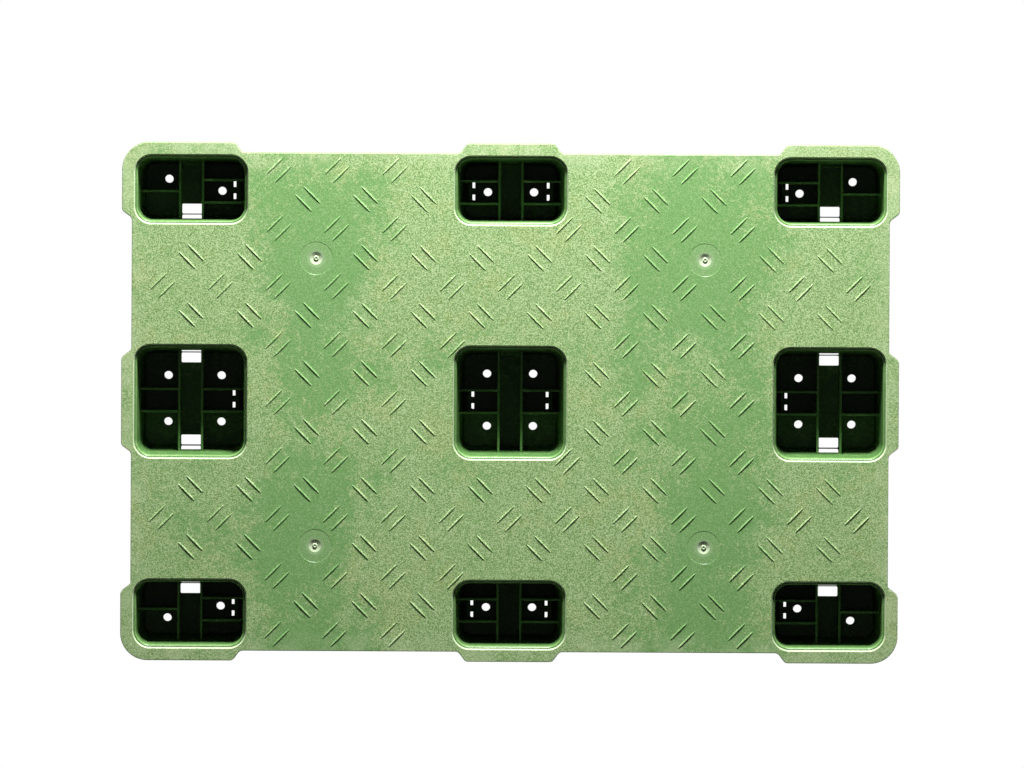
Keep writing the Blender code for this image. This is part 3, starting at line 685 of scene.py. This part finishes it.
def drain_holes(column, row):
    lane_hole_y = lane_y(row) - row * DRAIN_Y_OUTER_ROW
    if column == 0 and row:
        return [(x, lane_hole_y) for x in (-DRAIN_X, DRAIN_X)]
    if column == 0:
        ys = (-DRAIN_Y_CENTRE_LEG, DRAIN_Y_CENTRE_LEG)
        return [(x, y) for x in (-DRAIN_X, DRAIN_X) for y in ys]
    inner, outer = -column * DRAIN_X_INNER, column * DRAIN_X
    if row == 0:
        return [(x, y) for x in (inner, outer) for y in (-DRAIN_Y_SIDE_LEG, DRAIN_Y_SIDE_LEG)]
    return [(inner, lane_hole_y), (outer, lane_y(row) + row * DRAIN_Y_CORNER_LEG)]


def add_window(bm, x0, x1, y0, y1, low, high):
    """An upright cutter with rounded corners."""
    corners = slab_corners(min(x0, x1), max(x0, x1), min(y0, y1), max(y0, y1), WINDOW_ROUND)
    outline = rounded(corners, lambda _radius: 4)
    add_loft(bm, [(outline, low), (outline, high)])


def soft_rib(bm, *extents):
    """A rib whose top edges are rounded over."""
    verts = add_block(bm, *extents)
    top = max(vert.co.z for vert in verts)
    high_edges = {edge for vert in verts for edge in vert.link_edges}
    high_edges = [edge for edge in high_edges if all(v.co.z > top - 1e-6 for v in edge.verts)]
    bmesh.ops.bevel(bm, geom=high_edges, offset=LEG_RIB_ROUND, segments=2, affect="EDGES", profile=0.5)


# A darker copy of the deck's green for the legs, whose insides lie deep in the pockets: painted shade.
SHADED_GREEN = (0.080, 0.205, 0.050, 1)


def leg_plastic_material():
    material, tree, shader = new_material("leg_plastic")
    where = add_node(tree, "TexCoord").outputs["Object"]
    height = add_node(tree, "SeparateXYZ", {0: where}).outputs["Z"]
    cloud = noise(tree, where, 12.0, detail=4.0)
    wear = between(tree, cloud, 0.3, 0.7, 0.0, 0.45)
    scuffs = use_group(tree, scuff, where, Speckle=90.0, Grain=260.0, Wear=wear)
    worn = maths(tree, "MULTIPLY", scuffs.outputs["Worn"], 0.4)
    colour = blend_colour(tree, worn, SHADED_GREEN, WORN_GREEN)
    # A paler band round the leg's ledge rounding: partly rubbing, partly painted highlight.
    wear_and_painted_light = between(tree, height, COLLAR_TOP - 0.0090, COLLAR_TOP - 0.0030)
    clean = between(tree, height, COLLAR_TOP - 0.0002, COLLAR_TOP - 0.0015)
    wear_and_painted_light = maths(tree, "MULTIPLY", wear_and_painted_light, clean)
    colour = blend_colour(tree, maths(tree, "MULTIPLY", wear_and_painted_light, 0.50), colour, WORN_GREEN)
    colour = flecked(tree, colour, scuffs, 0.25, 0.45)
    tree.links.new(colour, shader.inputs["Base Color"])
    tree.links.new(between(tree, cloud, 0.3, 0.8, 0.28, 0.42), shader.inputs["Roughness"])
    height = scuffs.outputs["Height"]
    bump = add_node(tree, "Bump", {"Height": height, "Strength": 0.20, "Distance": 0.0004})
    tree.links.new(bump.outputs["Normal"], shader.inputs["Normal"])
    return material


leg_plastic = leg_plastic_material()
for column, row in LEGS:
    name = leg_name(column, row)
    bm = bmesh.new()
    rings = [
        wall_ring(column, row, FLOOR_LOW + drop, LEG_WALL - FOOT_ROUND + out, FLOOR_TOP)
        for out, drop in round_over(FOOT_ROUND)
    ]
    collar_out = LEDGE + LEDGE_LAP
    rings += [
        wall_ring(column, row, COLLAR_TOP - COLLAR, LEG_WALL),
        wall_ring(column, row, COLLAR_TOP - COLLAR, collar_out, COLLAR_TOP),
        wall_ring(column, row, COLLAR_TOP, collar_out),
        wall_ring(column, row, COLLAR_TOP, LEDGE_START),
    ]
    for out, drop in round_over(1, LEDGE_STEPS):
        z = COLLAR_TOP - LEDGE_ROUND_DROP * drop
        rings.append(wall_ring(column, row, z, LEDGE_ROUND * (1 - out)))
    for out, drop in round_over(FOOT_ROUND):
        rings.append(wall_ring(column, row, FLOOR_TOP + FOOT_ROUND - out, -drop))
    add_loft(bm, rings)
    leg = new_piece(name.replace("leg", "moulded_leg"), bm)
    leg.location = pocket(column, row)[0] * Vector((1, 1, 0))
    bpy.context.view_layer.update()

    foot = FLOOR_TOP - LEG_FLOOR / 2
    into = LEG_WALL / 2
    low_x0, low_x1, low_y0, low_y1 = wall_extents(column, row, foot)
    top_x0, top_x1, top_y0, top_y1 = wall_extents(column, row, LEG_RIB_TOP)
    bm = bmesh.new()
    for x in (-CHANNEL_RIB_X, CHANNEL_RIB_X):
        x0, x1 = x - LEG_RIB / 2, x + LEG_RIB / 2
        low, high = (x0, low_y0 - into, foot), (x1, low_y1 + into, LEG_RIB_TOP)
        soft_rib(bm, low, high, (x0, top_y0 - into), (x1, top_y1 + into))
    work(leg, "UNION", bm)
    bm = bmesh.new()
    for side in (-1, 1):
        one_rib = row and side == column
        for offset in (0,) if one_rib else (-LANE_RIB_Y, LANE_RIB_Y):
            y = lane_y(row) + offset
            y0, y1 = y - LEG_RIB / 2, y + LEG_RIB / 2
            near = side * CHANNEL_RIB_X
            low_far = low_x1 + into if side > 0 else low_x0 - into
            top_far = top_x1 + into if side > 0 else top_x0 - into
            low = (min(near, low_far), y0, foot)
            high = (max(near, low_far), y1, LEG_RIB_TOP)
            soft_rib(bm, low, high, (min(near, top_far), y0), (max(near, top_far), y1))
    work(leg, "UNION", bm)

    bm = bmesh.new()
    under, over = FLOOR_LOW - OVERSHOOT, FLOOR_TOP + OVERSHOOT
    for x, y in drain_holes(column, row):
        add_turned(bm, x, y, ((DRAIN_RADIUS, under), (DRAIN_RADIUS, over)), DRAIN_STEPS)
    half = LANE_CLEAR / 2 - WINDOW_SIDE_CLEAR
    for side in hook_sides(column):
        start = side * window_start(floor_edge(column, row, side_x=side))
        y0, y1 = lane_y(row) - half, lane_y(row) + half
        add_window(bm, start, start + side * WINDOW_DEPTH, y0, y1, under, over)
    half = CHANNEL_CLEAR / 2 - WINDOW_SIDE_CLEAR
    for side in open_window_sides(column, row):
        edge = floor_edge(column, row, side_y=side)
        start = side * open_window_start(row, side)
        end = start + side * WINDOW_DEPTH
        add_window(bm, -half, half, start, end, under, over)
        far = side * (edge + LEG_WALL + WALL_DRAFT)
        near, top = end + side * WALL_WINDOW_BAR, FLOOR_TOP + WALL_WINDOW_HEIGHT
        add_window(bm, -half, half, near, far, under, top)
    work(leg, "DIFFERENCE", bm)
    finish_surface(leg, leg_plastic)
    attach(leg, "pallet")
    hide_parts(name)

# ---------------------------------------------------------------------------------------------
# Runners
# Three tray-shaped mouldings that clip on under the legs and make the pallet ready for racks and
# conveyors. Each has a flat sole, upright walls and drain holes in line with the legs'.
# ---------------------------------------------------------------------------------------------
RUNNER_WALL = 0.004
RUNNER_FLOOR = 0.004
RUNNER_RIB = 0.0032
RUNNER_RADIUS = 0.014
RUNNER_TOP_ROUND = 0.0006
RUNNER_BAYS = 3
SOLE_ROUND = 0.002
BOSS_WALL = 0.0035
NOTCH_CLEAR = 0.001
HOOK_THICKNESS = 0.0066
HOOK_WIDTH = 0.0290
HOOK_SLIT = 0.0042
NOSE_CATCH = 0.0022
SLOT_CLEAR = 0.0006


def tongue_place(column, row, side):
    start = window_start(floor_edge(column, row, side_x=side))
    return side * (start + HOOK_SLIT + HOOK_THICKNESS / 2)


def runner_walls(row):
    """Where the cross walls are in X: beside each hook, and evenly between the legs."""
    walls = []
    for column in COLUMNS:
        x = pocket(column, row)[0].x
        for side in hook_sides(column):
            tongue = tongue_place(column, row, side)
            near = tongue - side * (HOOK_THICKNESS / 2 + HOOK_SLIT + NOSE_CATCH + SLOT_CLEAR)
            far = side * floor_edge(column, row, side_x=side)
            walls += [x + near - side * RUNNER_RIB, x + far + side * LEG_WALL]
    walls.sort()
    for start, end in ((walls[1], walls[2]), (walls[5], walls[6])):
        walls += [start + (end - start) * k / RUNNER_BAYS for k in range(1, RUNNER_BAYS)]
    return sorted(walls)


def runner_plastic_material():
    material, tree, shader = new_material("runner_plastic")
    where = add_node(tree, "TexCoord").outputs["Object"]
    streaks = add_node(tree, "Mapping", {"Vector": where, "Scale": (6.0, 120.0, 60.0)})
    drag = between(tree, noise(tree, streaks.outputs[0], 1.6, detail=5.0), 0.52, 0.72)
    wear = between(tree, drag, 0.0, 1.0, 0.25, 0.75)
    scuffs = use_group(tree, scuff, where, Speckle=95.0, Grain=240.0, Wear=wear)
    colour = blend_colour(tree, scuffs.outputs["Worn"], SMOOTH_GREEN, WORN_GREEN)
    colour = flecked(tree, colour, scuffs, 0.45, 0.55)
    tree.links.new(colour, shader.inputs["Base Color"])
    tree.links.new(between(tree, drag, 0.0, 1.0, 0.40, 0.60), shader.inputs["Roughness"])
    height = scuffs.outputs["Height"]
    bump = add_node(tree, "Bump", {"Height": height, "Strength": 0.30, "Distance": 0.0004})
    tree.links.new(bump.outputs["Normal"], shader.inputs["Normal"])
    return material


runner_plastic = runner_plastic_material()
for row in ROWS:
    name = f"runner_{ROWS[row]}"
    low_corner, high_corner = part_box(name)
    half_x = (high_corner.x - low_corner.x) / 2
    half_y = (high_corner.y - low_corner.y) / 2
    top = high_corner.z

    def runner_ring(z, distance):
        x, y = half_x - distance, half_y - distance
        return rounded(slab_corners(-x, x, -y, y, RUNNER_RADIUS - distance), fine_steps), z

    bm = bmesh.new()
    rings = [runner_ring(drop, SOLE_ROUND - out) for out, drop in round_over(SOLE_ROUND)]
    rings += [runner_ring(top - RUNNER_TOP_ROUND, 0), runner_ring(top, RUNNER_TOP_ROUND)]
    add_loft(bm, rings)
    runner = new_piece(f"clip_on_{name}", bm)
    runner.location = (low_corner + high_corner) / 2 * Vector((1, 1, 0))
    bpy.context.view_layer.update()

    notch_half = CHANNEL_CLEAR / 2 + NOTCH_CLEAR
    notches = []
    for side in open_window_sides(-1, row):
        notch_start = open_window_start(row, side) - side * lane_y(row) - NOTCH_CLEAR
        if notch_start < half_y:
            notches += [(column, side, notch_start) for column in (-1, 1)]
    leg_x = {column: pocket(column, row)[0].x for column in COLUMNS}

    walls = [-half_x + RUNNER_WALL - RUNNER_RIB / 2, *runner_walls(row)]
    walls.append(half_x - RUNNER_WALL + RUNNER_RIB / 2)
    rib = LANE_RIB_Y + RUNNER_RIB / 2
    wall_y = half_y - RUNNER_WALL
    lanes = ((-wall_y, -rib), (-rib + RUNNER_RIB, rib - RUNNER_RIB), (rib, wall_y))
    bm = bmesh.new()
    for start, end in zip(walls, walls[1:]):
        for lane, (y0, y1) in enumerate(lanes, -1):
            pieces = [(start + RUNNER_RIB / 2, end - RUNNER_RIB / 2)]
            for column, side, _start in notches:
                near = leg_x[column] - notch_half - RUNNER_RIB
                far = leg_x[column] + notch_half + RUNNER_RIB
                if lane == side and start < near and far < end:
                    pieces = [(pieces[0][0], near), (far, pieces[0][1])]
            for x0, x1 in pieces:
                add_window(bm, x0, x1, y0, y1, RUNNER_FLOOR, top + OVERSHOOT)
    work(runner, "DIFFERENCE", bm)

    holes = [
        (leg_x[column] + x, y - lane_y(row))
        for column in COLUMNS
        for x, y in drain_holes(column, row)
    ]
    bm = bmesh.new()
    boss = DRAIN_RADIUS + BOSS_WALL
    for x, y in holes:
        add_turned(bm, x, y, ((boss, RUNNER_FLOOR / 2), (boss, top)), DRAIN_STEPS)
    work(runner, "UNION", bm)
    bm = bmesh.new()
    for x, y in holes:
        add_turned(bm, x, y, ((DRAIN_RADIUS, -OVERSHOOT), (DRAIN_RADIUS, top + OVERSHOOT)), DRAIN_STEPS)
    slot_half = LANE_CLEAR / 2 - RUNNER_RIB / 4
    for column in COLUMNS:
        for side in hook_sides(column):
            near = leg_x[column] + tongue_place(column, row, side) - side * HOOK_THICKNESS / 2
            far = near - side * (HOOK_SLIT + NOSE_CATCH)
            add_window(bm, near, far, -slot_half, slot_half, -OVERSHOOT, RUNNER_FLOOR + OVERSHOOT)
    for column, side, notch_start in notches:
        x0, x1 = leg_x[column] - notch_half, leg_x[column] + notch_half
        y0, y1 = side * notch_start, side * (half_y + 2 * OVERSHOOT)
        add_window(bm, x0, x1, y0, y1, -OVERSHOOT, top + OVERSHOOT)
    work(runner, "DIFFERENCE", bm)
    finish_surface(runner, runner_plastic)
    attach(runner, "pallet")
    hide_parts(name)

# ---------------------------------------------------------------------------------------------
# Snap hooks
# Twelve springy tongues, moulded with the runners. Each comes up through a window in a leg floor
# and catches the window's edge with a narrow nose. Pressed back, it lets the runner go.
# ---------------------------------------------------------------------------------------------
NOSE_WIDTH = 0.0100
NOSE_HEIGHT = 0.0055
NOSE_TIP = 0.0020
CROWN_ROUND = 0.0012
CROWN_STEPS = 6
ROOT_STEPS = 16


def add_strip(bm, profile, width):
    """A flat (x, z) outline, extruded evenly to both sides along Y."""
    front = [bm.verts.new((x, -width / 2, z)) for x, z in profile]
    back = [bm.verts.new((x, width / 2, z)) for x, z in profile]
    for i in range(len(profile)):
        j = (i + 1) % len(profile)
        bm.faces.new((front[i], front[j], back[j], back[i]))
    bm.faces.new(front)
    bm.faces.new(back[::-1])


for joint in frame["joints"]:
    place = Vector(joint["pos_m"])
    side = joint["axis"][1]
    radius = HOOK_THICKNESS / 2
    nose_low = FLOOR_TOP + GAP - place.z
    top = nose_low + NOSE_HEIGHT
    turns = [pi + pi * k / ROOT_STEPS for k in range(ROOT_STEPS + 1)]
    root = [(radius * cos(a), radius * sin(a)) for a in turns]
    turns = [pi / 2 * k / CROWN_STEPS for k in range(CROWN_STEPS + 1)]
    crown_x, crown_z = radius - CROWN_ROUND, top - CROWN_ROUND
    crown = [(crown_x + CROWN_ROUND * cos(a), crown_z + CROWN_ROUND * sin(a)) for a in turns]
    bm = bmesh.new()
    add_strip(bm, [*root, *crown, (-radius, top)], HOOK_WIDTH)
    hook = new_piece(f"snap_{joint['child']}", bm)
    hook.location = place
    hook.rotation_euler.z = 0 if side > 0 else pi
    bpy.context.view_layer.update()
    reach = radius + HOOK_SLIT + NOSE_CATCH
    bm = bmesh.new()
    nose = [
        (0, nose_low),
        (-reach, nose_low),
        (-reach, nose_low + NOSE_TIP),
        (-radius, top - NOSE_TIP / 2),
        (0, top - NOSE_TIP / 2),
    ]
    add_strip(bm, nose, NOSE_WIDTH)
    work(hook, "UNION", bm)
    finish_surface(hook, runner_plastic)
    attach(hook, joint["child"])
    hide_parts(joint["child"])

# ---------------------------------------------------------------------------------------------
# Floor, light and camera
# A plain white floor. One strong soft light comes low from behind, a little to the right, and a
# weak even fill comes from all round. The camera looks down on the deck from far above.
# ---------------------------------------------------------------------------------------------
FLOOR_REACH = 12
FLOOR_WHITE = (0.9, 0.9, 0.9, 1)
KEY_PLACE = Vector((0.18, 2.75, 1.06))
KEY_TARGET = Vector((0, 0, 0.12))
KEY_SIZE = 0.6
KEY_POWER = 262
FILL_STRENGTH = 0.05

bm = bmesh.new()
bmesh.ops.create_grid(bm, x_segments=1, y_segments=1, size=FLOOR_REACH)
floor = new_piece("floor", bm)
floor_white, tree, shader = new_material("floor_white")
shader.inputs["Base Color"].default_value = FLOOR_WHITE
shader.inputs["Roughness"].default_value = 0.9
glow = add_node(tree, "Emission", {"Color": (1, 1, 1, 1), "Strength": 1.0})
seen = add_node(tree, "LightPath").outputs["Is Camera Ray"]
pick = add_node(tree, "MixShader", {0: seen, 1: shader.outputs[0], 2: glow.outputs[0]})
tree.links.new(pick.outputs[0], tree.nodes["Material Output"].inputs["Surface"])
floor.data.materials.append(floor_white)

lamp = bpy.data.lights.new("key", "AREA")
lamp.shape = "DISK"
lamp.size = KEY_SIZE
lamp.energy = KEY_POWER
holder = bpy.data.objects.new("key", lamp)
holder.location = KEY_PLACE
holder.rotation_euler = (KEY_TARGET - KEY_PLACE).to_track_quat("-Z", "Y").to_euler()
bpy.context.scene.collection.objects.link(holder)
world = bpy.data.worlds.new("studio")
world.use_nodes = True
world.node_tree.nodes["Background"].inputs["Color"].default_value = (1, 1, 1, 1)
world.node_tree.nodes["Background"].inputs["Strength"].default_value = FILL_STRENGTH
bpy.context.scene.world = world
bpy.context.scene.view_settings.view_transform = "Standard"

CAMERA_DISTANCE = 30.0
VIEW_WIDTH = 1.580
CAMERA_TILT = radians(-2.1)
CAMERA_ROLL = radians(0.29)
LOOKED_AT = Vector((0.0030, 0.0294, DECK_TOP))
camera = bpy.data.cameras.new("camera")
camera.sensor_width = 36
camera.lens = camera.sensor_width * CAMERA_DISTANCE / VIEW_WIDTH
camera.clip_end = 2 * CAMERA_DISTANCE
eye = bpy.data.objects.new("camera", camera)
aim = Matrix.Rotation(CAMERA_ROLL, 3, "Z") @ Matrix.Rotation(CAMERA_TILT, 3, "X")
eye.location = LOOKED_AT + aim @ Vector((0, 0, CAMERA_DISTANCE))
eye.rotation_euler = aim.to_euler()
bpy.context.scene.collection.objects.link(eye)
bpy.context.scene.camera = eye
